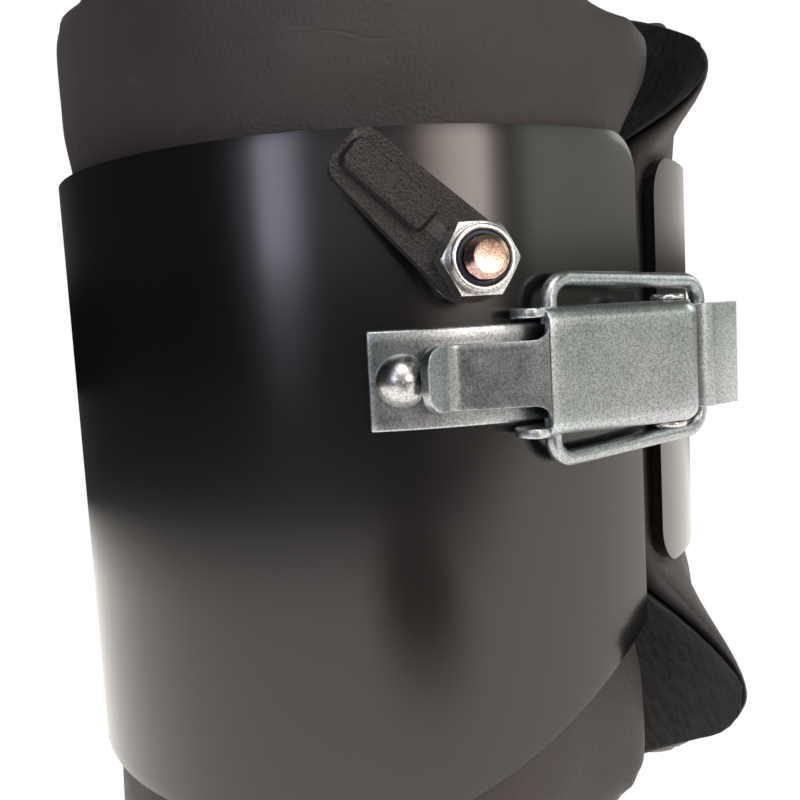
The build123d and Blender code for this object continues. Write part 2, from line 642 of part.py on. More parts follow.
liner_radius = BAR_RADIUS + LINER / 2
with BuildPart() as hook_liner:
    with BuildSketch(side_plane):
        with BuildLine():
            CenterArc((HOOK_CENTRE_Y, HOOK_CENTRE_HEIGHT), liner_radius, 180, 180)
            Line(
                (HOOK_CENTRE_Y + liner_radius, HOOK_CENTRE_HEIGHT),
                (HOOK_CENTRE_Y + liner_radius, HOOK_CENTRE_HEIGHT + LINER_TIP_RISE),
            )
            Line(
                (HOOK_CENTRE_Y - liner_radius, HOOK_CENTRE_HEIGHT),
                (HOOK_CENTRE_Y - liner_radius, HOOK_CENTRE_HEIGHT + LINER_BACK_RISE),
            )
        trace(line_width=LINER - 2 * TOUCH)
    extrude(amount=HOOK_WIDTH / 2 - LINER_MARGIN, both=True)
finish(hook_liner.part, "hook_liner")

hook_outer_face = HOOK_BACK + HOOK_THICKNESS - SHELL_RADIUS
nut_face = -SHELL_WALL - HOOK_NUT_SEAT
hook_bolt_end = nut_face - M8_WASHER - M8_NUT - 2 * TOUCH - M8_BOLT_PAST_NUT
with BuildPart() as hook_bolt:
    with Locations(Plane.XY.offset(hook_outer_face + TOUCH)):
        Cylinder(M8_HEAD_RADIUS, M8_HEAD, align=(Align.CENTER, Align.CENTER, Align.MIN))
    with Locations(Plane.XY.offset(hook_bolt_end)):
        Cylinder(
            M8_RADIUS - TOUCH, hook_outer_face - hook_bolt_end + M8_HEAD / 2,
            align=(Align.CENTER, Align.CENTER, Align.MIN),
        )
    rims = hook_bolt.edges().filter_by(GeomType.CIRCLE).group_by(Axis.Z)
    fillet(rims[-1], M8_HEAD_ROUNDING)
    with BuildSketch(Plane.XY.offset(hook_outer_face + M8_HEAD)):
        RegularPolygon(M8_KEY_RADIUS, 6, major_radius=False)
    extrude(amount=-M8_KEY_DEPTH, mode=Mode.SUBTRACT)
finish(place(hook_bolt.part, hook_bolt_planes), "hook_bolts")

with BuildPart() as hook_washer:
    with BuildSketch(Plane.XY.offset(nut_face)):
        Circle(M8_HEAD_RADIUS)
        Circle(M8_RADIUS + BOLT_CLEARANCE, mode=Mode.SUBTRACT)
    extrude(amount=-M8_WASHER)
finish(place(hook_washer.part, hook_bolt_planes), "hook_washers")

hook_nut = hex_nut(M8_FLATS, M8_RADIUS, M8_NUT, nut_face - M8_WASHER - TOUCH - M8_NUT)
finish(place(hook_nut, hook_bolt_planes), "hook_nuts")
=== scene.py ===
import json
import math

import bmesh
import bpy
import numpy as np
from mathutils import Matrix, Vector, noise


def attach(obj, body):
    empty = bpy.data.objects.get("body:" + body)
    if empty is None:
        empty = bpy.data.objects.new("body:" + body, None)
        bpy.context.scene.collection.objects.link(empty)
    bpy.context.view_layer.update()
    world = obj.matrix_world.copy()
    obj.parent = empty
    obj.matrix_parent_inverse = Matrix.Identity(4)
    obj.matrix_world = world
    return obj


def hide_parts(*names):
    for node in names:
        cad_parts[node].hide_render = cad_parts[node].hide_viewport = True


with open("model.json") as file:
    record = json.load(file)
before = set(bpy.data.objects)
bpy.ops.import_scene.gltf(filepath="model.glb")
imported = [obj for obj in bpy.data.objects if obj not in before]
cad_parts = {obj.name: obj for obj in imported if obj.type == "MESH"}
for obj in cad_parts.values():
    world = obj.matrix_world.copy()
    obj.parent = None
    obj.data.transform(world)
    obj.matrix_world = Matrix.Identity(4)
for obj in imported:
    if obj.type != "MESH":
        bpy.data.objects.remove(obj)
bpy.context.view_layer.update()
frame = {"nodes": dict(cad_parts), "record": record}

# Looks of a padded steel inversion boot: painted half shells, foam pads, toggle latch and safety lever.
# The leg axis is Z, the latch half is on -Y, the hook half on +Y, the latch gap at +X, the hinge at -X.
# Lengths are in millimetres and angles in degrees where a name or comment doesn't say otherwise.
MM = 0.001
SHARP = 50                   # sheet edges sharper than this are rounded
SHELL_RADIUS = 64.5
SHELL_WALL = 2.0
SHELL_EDGE = 3.3
SHELL_CORNER = 7.0           # in the flat sheet
SHELL_COLUMNS = 180
SHELL_ROWS = 48
ROLLED_EDGE = 0.7
SHELLS = {
    "latch_shell": {"side": -1, "bottom": 32.0, "top": 142.3, "top_corner": 1.0, "bottom_corner": 29.0},
    "hook_shell": {"side": 1, "bottom": 66.5, "top": 139.5, "top_corner": 1.0, "bottom_corner": 1.0},
}
PAD_OUTER = 61.4
PAD_INNER = 49.0
PAD_HEIGHT = 174.3
PAD_EDGE = 0.6
PAD_CORNERS = {"latch_pad": (16.0, 30.0), "hook_pad": (20.0, 42.0)}      # top, bottom


# ------------------------------------------------------------------ small geometry helpers
def corner_cut(x, half_width, radius):
    """How far a rounded corner of an upright rectangle pulls in its end, at a distance x from the middle."""
    into = abs(x) - (half_width - radius)
    if into <= 0:
        return 0.0
    return radius - math.sqrt(max(radius * radius - min(into, radius) ** 2, 0.0))


def unrolled_cut(turn, radius, corner):
    """The same for a corner rounded in the flat sheet, before it is bent around the leg axis."""
    from_edge = min(abs(turn), math.pi - abs(turn)) * radius
    into = max(corner - from_edge, 0.0)
    return corner - math.sqrt(corner * corner - into * into)


def smooth_step(value, low, high):
    """0 below low, 1 above high, an S-curve between them."""
    part = min(max((value - low) / (high - low), 0.0), 1.0)
    return part * part * (3 - 2 * part)


def mesh_object(name, points, faces):
    """A new mesh object from points in millimetres."""
    mesh = bpy.data.meshes.new(name)
    mesh.from_pydata([Vector(p) * MM for p in points], [], faces)
    mesh.validate()
    piece = bpy.data.objects.new(name, mesh)
    bpy.context.collection.objects.link(piece)
    return piece


def face_outward(piece):
    """Makes the normals of a closed mesh point outward."""
    shape = bmesh.new()
    shape.from_mesh(piece.data)
    bmesh.ops.recalc_face_normals(shape, faces=shape.faces)
    shape.to_mesh(piece.data)
    shape.free()


def bake_modifiers(piece):
    """Applies every modifier of a piece to its mesh."""
    depsgraph = bpy.context.evaluated_depsgraph_get()
    result = bpy.data.meshes.new_from_object(piece.evaluated_get(depsgraph))
    piece.modifiers.clear()
    old = piece.data
    piece.data = result
    bpy.data.meshes.remove(old)


def smooth(piece):
    """Smooth shading on every face."""
    piece.data.polygons.foreach_set("use_smooth", [True] * len(piece.data.polygons))


def sharp_shading(piece, angle):
    """Smooth shading that keeps edges sharper than an angle."""
    smooth(piece)
    shape = bmesh.new()
    shape.from_mesh(piece.data)
    for edge in shape.edges:
        edge.smooth = len(edge.link_faces) != 2 or edge.calc_face_angle(0) < math.radians(angle)
    shape.to_mesh(piece.data)
    shape.free()


def round_edges(piece, width, segments, above):
    """Bevels the edges sharper than an angle."""
    bevel = piece.modifiers.new("rounded_edges", "BEVEL")
    bevel.width = width * MM
    bevel.segments = segments
    bevel.limit_method = "ANGLE"
    bevel.angle_limit = math.radians(above)


def thicken(piece, thickness, rounding, segments=3):
    """Gives a surface its sheet thickness, inward, and rounds the sheet's edges."""
    sheet = piece.modifiers.new("sheet", "SOLIDIFY")
    sheet.thickness = thickness * MM
    sheet.offset = -1.0
    round_edges(piece, rounding, segments, SHARP)
    bake_modifiers(piece)
    face_outward(piece)


def join(pieces, name):
    """One object out of several meshes."""
    shape = bmesh.new()
    for piece in pieces:
        shape.from_mesh(piece.data)
        bpy.data.objects.remove(piece)
    mesh = bpy.data.meshes.new(name)
    shape.to_mesh(mesh)
    shape.free()
    whole = bpy.data.objects.new(name, mesh)
    bpy.context.collection.objects.link(whole)
    return whole


def grid_faces(rows, columns):
    """Faces of a grid whose points are listed row by row."""
    return [
        (i * columns + j, i * columns + j + 1, (i + 1) * columns + j + 1, (i + 1) * columns + j)
        for i in range(rows - 1)
        for j in range(columns - 1)
    ]


def flipped(faces):
    """The same faces, seen from the other side."""
    return [face[::-1] for face in faces]


# ------------------------------------------------------------------ shader nodes
MIX_FACTOR, MIX_FIRST, MIX_SECOND, MIX_RESULT = 0, 6, 7, 2       # sockets of a Mix node that mixes colours


def link_all(tree, pairs):
    for source, target in pairs:
        tree.links.new(source, target)


def color_ramp(tree, source, stops):
    """Colour ramp over stops: (position, colour or grey level) pairs."""
    node = tree.nodes.new("ShaderNodeValToRGB")
    band = node.color_ramp
    while len(band.elements) < len(stops):
        band.elements.new(0.5)
    for element, (position, colour) in zip(band.elements, stops):
        element.position = position
        if isinstance(colour, (int, float)):
            colour = (colour, colour, colour)
        element.color = (*colour, 1.0)
    tree.links.new(source, node.inputs["Fac"])
    return node.outputs["Color"]


def math_node(tree, operation, *values):
    """One Math node; each value is a number or a socket."""
    node = tree.nodes.new("ShaderNodeMath")
    node.operation = operation
    for socket, value in zip(node.inputs, values):
        if isinstance(value, bpy.types.NodeSocket):
            tree.links.new(value, socket)
        else:
            socket.default_value = value
    return node.outputs[0]


def distance(tree, across, ahead):
    """Length of a vector with two components."""
    squares = (math_node(tree, "POWER", across, 2.0), math_node(tree, "POWER", ahead, 2.0))
    return math_node(tree, "SQRT", math_node(tree, "ADD", *squares))


def mix_colors(tree, factor, first, second, mode="MIX"):
    """Mixes two colours or sockets."""
    node = tree.nodes.new("ShaderNodeMix")
    node.data_type = "RGBA"
    node.blend_type = mode
    for key, value in ((MIX_FACTOR, factor), (MIX_FIRST, first), (MIX_SECOND, second)):
        if isinstance(value, bpy.types.NodeSocket):
            tree.links.new(value, node.inputs[key])
        elif key == MIX_FACTOR:
            node.inputs[key].default_value = value
        else:
            node.inputs[key].default_value = (*value, 1.0)
    return node.outputs[MIX_RESULT]


# ------------------------------------------------------------------ procedural materials
class Look:
    """A node material with short calls for the nodes that the looks below share.

    Texture scales are per metre, in the piece's own coordinates.
    """

    def __init__(self, name, roughness=0.5, metallic=0.0):
        self.material = bpy.data.materials.new(name)
        self.material.use_nodes = True
        self.tree = self.material.node_tree
        self.shader = self.tree.nodes["Principled BSDF"]
        self.set(Roughness=roughness, Metallic=metallic)
        self.place = self.tree.nodes.new("ShaderNodeTexCoord").outputs["Object"]

    def set(self, **values):
        for key, value in values.items():
            self.shader.inputs[key.replace("_", " ")].default_value = value

    def link(self, source, key):
        self.tree.links.new(source, self.shader.inputs[key])

    def stretched(self, scale):
        """Coordinates scaled differently along X, Y and Z."""
        mapping = self.tree.nodes.new("ShaderNodeMapping")
        mapping.inputs["Scale"].default_value = scale
        self.tree.links.new(self.place, mapping.inputs["Vector"])
        return mapping.outputs["Vector"]

    def noise(self, scale, detail=4.0, roughness=0.55, vector=None):
        node = self.tree.nodes.new("ShaderNodeTexNoise")
        node.inputs["Scale"].default_value = scale
        node.inputs["Detail"].default_value = detail
        node.inputs["Roughness"].default_value = roughness
        self.tree.links.new(vector or self.place, node.inputs["Vector"])
        return node.outputs["Fac"]

    def cells(self, scale):
        node = self.tree.nodes.new("ShaderNodeTexVoronoi")
        node.inputs["Scale"].default_value = scale
        self.tree.links.new(self.place, node.inputs["Vector"])
        return node.outputs["Distance"]

    def ramp(self, source, stops):
        return color_ramp(self.tree, source, stops)

    def mix(self, factor, first, second, mode="MIX"):
        return mix_colors(self.tree, factor, first, second, mode)

    def add(self, first, second, weight):
        """first + weight * second, for heights."""
        return math_node(self.tree, "MULTIPLY_ADD", second, weight, first)

    def bump(self, height, strength, distance_mm):
        node = self.tree.nodes.new("ShaderNodeBump")
        node.inputs["Strength"].default_value = strength
        node.inputs["Distance"].default_value = distance_mm * MM
        self.tree.links.new(height, node.inputs["Height"])
        self.link(node.outputs["Normal"], "Normal")

    def edges(self, low, high):
        """1 on sharp outer edges, 0 elsewhere."""
        node = self.tree.nodes.new("ShaderNodeNewGeometry")
        return self.ramp(node.outputs["Pointiness"], [(low, 0.0), (high, 1.0)])


def gloss_paint():
    """Black gloss paint with a little orange peel, wipe marks and rare dust specks."""
    look = Look("gloss_black_paint", roughness=0.2)
    look.set(Coat_Weight=0.6, Coat_Roughness=0.12, Specular_IOR_Level=0.5)
    tone = look.ramp(look.noise(14, 3), [(0.3, (0.0040, 0.0036, 0.0036)), (0.75, (0.0080, 0.0070, 0.0066))])
    specks = look.ramp(look.cells(300), [(0.0, 1.0), (0.06, 0.0)])
    rare = look.ramp(look.noise(60, 1), [(0.60, 0.0), (0.72, 1.0)])
    look.link(look.mix(look.mix(1.0, specks, rare, "MULTIPLY"), tone, (0.10, 0.095, 0.09)), "Base Color")
    wipe = look.noise(9, 5, 0.6, look.stretched((1, 1, 0.35)))
    look.link(look.ramp(wipe, [(0.35, 0.16), (0.75, 0.26)]), "Roughness")
    peel = look.add(look.noise(260, 2), look.noise(38, 2), 2.0)
    look.bump(peel, 0.10, 0.05)
    return look.material


def foam_skin():
    """Closed-cell foam: dark brown-black, finely pored, with scuffs and thin creases."""
    look = Look("foam_skin", roughness=0.6)
    tone = look.ramp(
        look.noise(34, 5),
        [(0.3, (0.030, 0.024, 0.023)), (0.55, (0.039, 0.031, 0.030)), (0.8, (0.048, 0.040, 0.038))],
    )
    scuff = look.ramp(look.noise(300, 3, 0.7), [(0.62, 0.0), (0.78, 0.35)])
    look.link(look.mix(scuff, tone, (0.075, 0.068, 0.064)), "Base Color")
    look.link(look.ramp(look.noise(70, 4), [(0.3, 0.50), (0.8, 0.68)]), "Roughness")
    pores = look.add(look.cells(1500), look.noise(520, 3), 0.8)
    lines = look.noise(26, 2, 0.5, look.stretched((1, 1, 4.5)))
    crease = look.ramp(lines, [(0.485, 1.0), (0.5, 0.0), (0.515, 1.0)])
    where = look.ramp(look.noise(23, 1), [(0.50, 1.0), (0.66, 0.0)])
    folds = look.mix(where, crease, (1.0, 1.0, 1.0))
    look.bump(look.add(pores, folds, 1.8), 0.30, 0.22)
    look.set(Sheen_Weight=0.08, Sheen_Roughness=0.5)
    return look.material


def brushed_lining():
    """Black nap, tufted and matt."""
    look = Look("brushed_lining", roughness=1.0)
    tufts = look.noise(900, 6, 0.75)
    clumps = look.cells(330)
    fibre = look.ramp(
        look.add(tufts, clumps, 0.5),
        [(0.42, (0.004, 0.0037, 0.004)), (0.95, (0.026, 0.024, 0.025))],
    )
    look.link(fibre, "Base Color")
    look.set(Sheen_Weight=0.16, Sheen_Roughness=0.7, Specular_IOR_Level=0.1)
    look.bump(look.add(tufts, clumps, 1.2), 1.0, 0.9)
    return look.material


def zinc(name, colours, roughness, grain=1.0, painted_flat_shade=1.0):
    """Electroplated steel with a fine grain, handling scratches and slightly changing tint."""
    look = Look(name, roughness=roughness[0], metallic=1.0)
    tint_and_shade = look.ramp(look.noise(60, 2), [(0.2, colours[0]), (0.5, colours[1]), (0.8, colours[2])])
    freckle = look.ramp(look.noise(3000, 2, 0.6), [(0.36, 0.55), (0.62, 1.0)])
    tint_and_shade = look.mix(1.0, tint_and_shade, freckle, "MULTIPLY")
    # Flat faces are darkened here as painted shade, which leaves the bends brighter as painted highlights.
    shaded_flats = look.mix(1.0, tint_and_shade, (painted_flat_shade, painted_flat_shade, painted_flat_shade), "MULTIPLY")
    tint_and_shade = look.mix(look.edges(0.505, 0.53), shaded_flats, tint_and_shade)
    thin = look.noise(330, 1, 0.4, look.stretched((0.3, 1.0, 3.0)))
    scratch = look.ramp(thin, [(0.494, 0.0), (0.5, 0.35), (0.506, 0.0)])
    look.link(look.mix(scratch, tint_and_shade, (0.9, 0.9, 0.9)), "Base Color")
    look.link(
        look.ramp(look.noise(240, 6, 0.7), [(0.3, roughness[0]), (0.72, roughness[1])]), "Roughness"
    )
    look.bump(look.add(look.noise(1300, 3, 0.7), scratch, -0.3), 0.25 * grain, 0.06)
    return look.material


def textured_black():
    """Black cast plastic with a grainy skin and slightly worn edges."""
    look = Look("textured_black", roughness=0.42)
    grains = look.cells(2400)
    rough = look.add(grains, look.noise(1600, 3, 0.7), 0.8)
    tone = look.ramp(rough, [(0.55, (0.002, 0.0018, 0.0018)), (1.15, (0.020, 0.018, 0.018))])
    look.link(look.mix(look.edges(0.54, 0.64), tone, (0.06, 0.058, 0.056)), "Base Color")
    look.link(look.ramp(look.noise(500, 3), [(0.3, 0.36), (0.75, 0.55)]), "Roughness")
    look.bump(rough, 0.8, 0.13)
    return look.material


def satin_paint():
    """Satin black paint."""
    look = Look("satin_black_paint", roughness=0.35)
    tone = look.ramp(look.noise(50, 4), [(0.3, (0.010, 0.010, 0.011)), (0.8, (0.018, 0.018, 0.019))])
    look.link(tone, "Base Color")
    look.link(look.ramp(look.noise(130, 4), [(0.3, 0.28), (0.8, 0.42)]), "Roughness")
    look.bump(look.noise(650, 3), 0.18, 0.10)
    return look.material


def black_rubber():
    """Matt black rubber with fine ribs."""
    look = Look("black_rubber", roughness=0.75)
    tone = look.ramp(look.noise(90, 5), [(0.3, (0.014, 0.014, 0.014)), (0.8, (0.030, 0.029, 0.028))])
    look.link(tone, "Base Color")
    look.link(look.ramp(look.noise(300, 4), [(0.3, 0.62), (0.8, 0.85)]), "Roughness")
    ribs = look.noise(60, 1, 0.3, look.stretched((14, 0.2, 0.2)))
    look.bump(look.add(look.noise(1200, 4), ribs, 1.2), 0.4, 0.2)
    return look.material


def blue_nylon():
    """Dark blue nylon of a lock nut's ring."""
    look = Look("blue_nylon", roughness=0.35)
    tone = look.ramp(look.noise(400, 3), [(0.3, (0.006, 0.010, 0.030)), (0.8, (0.012, 0.022, 0.060))])
    look.link(tone, "Base Color")
    look.link(look.ramp(look.noise(800, 3), [(0.3, 0.28), (0.8, 0.45)]), "Roughness")
    look.bump(look.noise(1500, 3), 0.2, 0.05)
    return look.material


BLUE_ZINC = ((0.60, 0.68, 0.68), (0.70, 0.76, 0.78), (0.76, 0.77, 0.82))
WHITE_ZINC = ((0.70, 0.70, 0.69), (0.80, 0.80, 0.79), (0.86, 0.85, 0.83))
YELLOW_ZINC = ((0.74, 0.58, 0.22), (0.78, 0.52, 0.48), (0.74, 0.40, 0.52))
DULL_ZINC = ((0.36, 0.37, 0.38), (0.46, 0.47, 0.48), (0.54, 0.54, 0.53))

LOOKS = {
    "shell_paint": gloss_paint(),
    "pad_skin": foam_skin(),
    "pad_lining": brushed_lining(),
    # the blue zinc's flat faces get painted shade, so its bends read as painted highlights
    "zinc_plate": zinc("blue_zinc", BLUE_ZINC, (0.26, 0.42), painted_flat_shade=0.62),
    "bright_zinc": zinc("white_zinc", WHITE_ZINC, (0.20, 0.34), 0.6),
    "yellow_zinc": zinc("yellow_zinc", YELLOW_ZINC, (0.16, 0.34), 1.2),
    "lever_plastic": textured_black(),
    "nylon_ring": blue_nylon(),
    "hook_paint": satin_paint(),
    "liner_rubber": black_rubber(),
    "hinge_steel": zinc("dull_zinc", DULL_ZINC, (0.28, 0.48)),
}


def wear(piece, slot):
    """Gives a piece the look of a material slot."""
    piece.data.materials.clear()
    piece.data.materials.append(LOOKS[slot])


# ------------------------------------------------------------------ CAD nodes that stay
REPLACED = (
    "latch_shell", "hook_shell", "latch_pad", "hook_pad", "latch_pad_lining", "hook_pad_lining",
    "toggle_lever", "safety_bolt", "latch_base",
)
EDGE_ROUNDING = {"catch_plate": 0.35, "bar_hook": 1.0, "safety_lever": 0.3}
SMALL_ROUNDING = 0.18        # edge rounding of every other piece
ROUNDED_ABOVE = 38
WELD_REACH = 0.002

for part in frame["record"]["subparts"]:
    node = part["node"]
    if node in REPLACED:
        continue
    piece = frame["nodes"][node]
    piece.data.materials.clear()
    piece.data.materials.append(LOOKS[part["material_slot"]])
    weld = piece.modifiers.new("weld", "WELD")
    weld.merge_threshold = WELD_REACH * MM
    round_edges(piece, EDGE_ROUNDING.get(node, SMALL_ROUNDING), 3, ROUNDED_ABOVE)
    normals = piece.modifiers.new("weighted_normals", "WEIGHTED_NORMAL")
    normals.keep_sharp = False


# ------------------------------------------------------------------ painted half shells
def build_shell(name, side, bottom, top, top_corner, bottom_corner):
    """One pressed half shell: a bent sheet with rounded corners and rolled edges."""
    start = math.asin(SHELL_EDGE / SHELL_RADIUS)
    points = []
    for i in range(SHELL_COLUMNS + 1):
        # columns stand closer together near the two upright edges
        turn = start + (math.pi - 2 * start) * (1 - math.cos(math.pi * i / SHELL_COLUMNS)) / 2
        x = SHELL_RADIUS * math.cos(turn)
        y = side * SHELL_RADIUS * math.sin(turn)
        cut = unrolled_cut(turn - start * math.cos(turn), SHELL_RADIUS, SHELL_CORNER)
        low = bottom + max(corner_cut(x, SHELL_RADIUS, bottom_corner), cut)
        high = top - max(corner_cut(x, SHELL_RADIUS, top_corner), cut)
        points += [(x, y, low + (high - low) * j / SHELL_ROWS) for j in range(SHELL_ROWS + 1)]
    faces = [
        (a, a + 1, a + SHELL_ROWS + 2, a + SHELL_ROWS + 1)
        for i in range(SHELL_COLUMNS)
        for a in range(i * (SHELL_ROWS + 1), i * (SHELL_ROWS + 1) + SHELL_ROWS)
    ]
    shell = mesh_object(name, points, faces if side < 0 else flipped(faces))
    thicken(shell, SHELL_WALL, ROLLED_EDGE, segments=4)
    smooth(shell)
    return shell


for name, sizes in SHELLS.items():
    shell = build_shell(name + "_painted", **sizes)
    wear(shell, "shell_paint")
    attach(shell, "latch_half" if sizes["side"] < 0 else "hook_half")
    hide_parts(name)


# ------------------------------------------------------------------ toggle lever
LATCH_HEIGHT = 104.7
SHEET = 1.5
SHEET_ROUNDING = 0.3
BEND_SHADING = 40            # edges sharper than this keep a crease in the shading
LEVER_FACING = math.radians(-26.2)
WEB_FACE = 71.6
WEB_START = 1.0
WEB_HALF = 9.75
WEB_BEND = 2.3
WEB_CURL = 70                # how far the web's far end rolls around the pivot
PIVOT = (25.33, 67.11)       # along the web, out from the leg axis
PIVOT_PLATE_RADIUS = 4.1
TAB_CENTRE = (-0.4, 68.5)
TAB_RADIUS = 3.1
HANDLE_SLOPE = math.radians(18.8)
HANDLE_BEND = 3.1
HANDLE_LENGTH = 16.6
HANDLE_HALF = 4.95
HANDLE_FILLET = 2.2
HANDLE_CORNER = 3.2
LIP_RADIUS = 2.8
LIP_TURN = math.radians(46)


def circle_points(centre, radius, steps):
    """Evenly spaced points all around a circle."""
    return [
        (
            centre[0] + radius * math.cos(2 * math.pi * k / steps),
            centre[1] + radius * math.sin(2 * math.pi * k / steps),
        )
        for k in range(steps)
    ]


def arc(centre, radius, start, end, steps):
    """Points on a circle from one angle to another, both included."""
    return [
        (centre[0] + radius * math.cos(a), centre[1] + radius * math.sin(a))
        for a in np.radians(np.linspace(start, end, steps))
    ]


def in_lever(along, out, z):
    """A point of the lever: along its web, out from the leg axis, and up from the latch's centre line."""
    return (
        -math.sin(LEVER_FACING) * along + math.cos(LEVER_FACING) * out,
        math.cos(LEVER_FACING) * along + math.sin(LEVER_FACING) * out,
        LATCH_HEIGHT + z,
    )


def bent_line(corners, radius, step=0.4):
    """A polyline with each inner corner rounded, as closely spaced points."""
    path = [Vector(corners[0])]
    for before, corner, after in zip(corners, corners[1:], corners[2:]):
        corner = Vector(corner)
        come = (Vector(before) - corner).normalized()
        leave = (Vector(after) - corner).normalized()
        half = come.angle(leave) / 2
        back = radius / math.tan(half)
        centre = corner + (come + leave).normalized() * (radius / math.sin(half))
        first, last = corner + come * back, corner + leave * back
        for k in range(9):
            arm = (first - centre).lerp(last - centre, k / 8)
            path.append(centre + arm.normalized() * radius)
    path.append(Vector(corners[-1]))
    fine = [path[0]]
    for point in path[1:]:
        start = fine[-1]
        count = max(int((point - start).length / step), 1)
        fine += [start.lerp(point, (k + 1) / count) for k in range(count)]
    return fine


def web_sheet():
    """The lever's broad channel: a web with two long rounded bends, rolled over the pivot."""
    stations = [((along, WEB_FACE), (0.0, 1.0)) for along in np.linspace(WEB_START, PIVOT[0], 14)]
    reach = WEB_FACE - PIVOT[1]
    for turn in np.radians(np.linspace(90, 90 - WEB_CURL, 14)[1:]):
        out = (math.cos(turn), math.sin(turn))
        stations.append(((PIVOT[0] + reach * out[0], PIVOT[1] + reach * out[1]), out))
    # half of the section, from the lower edge of one flange over its bend to the flat
    bend = [(WEB_HALF, WEB_BEND + 0.4)]
    bend += [
        (WEB_HALF - WEB_BEND * (1 - math.cos(a)), WEB_BEND * (1 - math.sin(a)))
        for a in np.radians(np.linspace(0, 90, 8))
    ]
    flat = [(z, 0.0) for z in np.linspace(WEB_HALF - WEB_BEND, -WEB_HALF + WEB_BEND, 8)[1:-1]]
    section = bend + flat + [(-z, depth) for z, depth in bend[::-1]]
    points = [
        in_lever(place[0] - out[0] * depth, place[1] - out[1] * depth, z)
        for place, out in stations
        for z, depth in section
    ]
    return mesh_object("web", points, grid_faces(len(stations), len(section)))


def handle_sheet():
    """Narrow handle that leaves the web through two fillets and ends in a raised finger lip."""
    tip = (
        HANDLE_BEND - HANDLE_LENGTH * math.cos(HANDLE_SLOPE),
        WEB_FACE - HANDLE_LENGTH * math.sin(HANDLE_SLOPE),
    )
    rise = HANDLE_SLOPE - LIP_TURN
    end = (tip[0] - 2 * LIP_RADIUS * math.cos(rise), tip[1] - 2 * LIP_RADIUS * math.sin(rise))
    under_web = (HANDLE_BEND + 3, WEB_FACE - 1.0)
    path = bent_line([under_web, (WEB_START + 0.6, WEB_FACE - 0.1), tip, end], LIP_RADIUS)
    steps = [(after - before).length for before, after in zip(path, path[1:])]
    points = []
    for index, place in enumerate(path):
        into_fillet = min(max(place.x - (WEB_START - HANDLE_FILLET), 0.0), HANDLE_FILLET)
        into_corner = max(HANDLE_CORNER - sum(steps[index:]), 0.0)
        half = HANDLE_HALF
        half += HANDLE_FILLET - math.sqrt(HANDLE_FILLET * HANDLE_FILLET - into_fillet * into_fillet)
        half -= HANDLE_CORNER - math.sqrt(HANDLE_CORNER * HANDLE_CORNER - into_corner * into_corner)
        points += [in_lever(place.x, place.y, z) for z in np.linspace(half, -half, 11)]
    return mesh_object("handle", points, flipped(grid_faces(len(path), 11)))


def flange_plate(side):
    """Side plate of the channel, with its rounded tab towards the handle."""
    outline = [
        (TAB_CENTRE[0] + WEB_START + 1.5, WEB_FACE - WEB_BEND),
        (TAB_CENTRE[0] + 0.9, WEB_FACE - 0.5),
    ]
    outline += arc(TAB_CENTRE, TAB_RADIUS, 100, 265, 12)
    outline += arc(PIVOT, PIVOT_PLATE_RADIUS, 266, 372, 12)
    outline += arc(PIVOT, WEB_FACE - PIVOT[1] - WEB_BEND, 20, 90, 6)
    points = [in_lever(along, out, side * WEB_HALF) for along, out in outline]
    face = tuple(range(len(points)))
    return mesh_object("flange", points, [face if side < 0 else face[::-1]])


sheets = [web_sheet(), handle_sheet(), flange_plate(-1), flange_plate(1)]
for sheet in sheets:
    thicken(sheet, SHEET, SHEET_ROUNDING)
lever = join(sheets, "toggle_lever_bent_sheet")
sharp_shading(lever, BEND_SHADING)
wear(lever, "zinc_plate")
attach(lever, "latch_lever")
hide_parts("toggle_lever")


# ------------------------------------------------------------------ latch base
BASE_START = -47.8
BASE_END = -4.5
BASE_HALF = 7.6
BASE_SURFACE = 66.02
BASE_ROUNDING = 0.35
LEVER_PIVOT = (71.4, -6.9)
EAR_RADIUS = 2.85
EAR_FEET = (-11.0, -21.0)


def base_strip():
    """The base plate, bent around the shell."""
    turns = np.radians(np.linspace(BASE_START, BASE_END, 45))
    heights = np.linspace(-BASE_HALF, BASE_HALF, 9)
    points = [
        (BASE_SURFACE * math.cos(a), BASE_SURFACE * math.sin(a), LATCH_HEIGHT + z)
        for a in turns
        for z in heights
    ]
    return mesh_object("base_strip", points, flipped(grid_faces(len(turns), len(heights))))


def base_ear(side):
    """Upright tab of the base plate that carries the lever's pivot."""
    outline = circle_points(LEVER_PIVOT, EAR_RADIUS, 32)
    for foot in np.radians(EAR_FEET):
        reach = BASE_SURFACE - SHEET / 2
        outline += circle_points((reach * math.cos(foot), reach * math.sin(foot)), SHEET / 2 - 0.05, 12)
    shape = bmesh.new()
    for depth in (0, SHEET):
        for x, y in outline:
            shape.verts.new(Vector((x, y, LATCH_HEIGHT + side * (BASE_HALF - depth))) * MM)
    result = bmesh.ops.convex_hull(shape, input=shape.verts)
    bmesh.ops.delete(shape, geom=result["geom_interior"], context="VERTS")
    flat = [edge for edge in shape.edges if len(edge.link_faces) == 2 and edge.calc_face_angle(0) < 0.01]
    bmesh.ops.dissolve_edges(shape, edges=flat)
    mesh = bpy.data.meshes.new("base_ear")
    shape.to_mesh(mesh)
    shape.free()
    ear = bpy.data.objects.new("base_ear", mesh)
    bpy.context.collection.objects.link(ear)
    return ear


strip = base_strip()
thicken(strip, SHEET, BASE_ROUNDING)
base = join([strip, base_ear(-1), base_ear(1)], "latch_base_bent_sheet")
sharp_shading(base, BEND_SHADING)
wear(base, "zinc_plate")
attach(base, "latch_half")
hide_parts("latch_base")


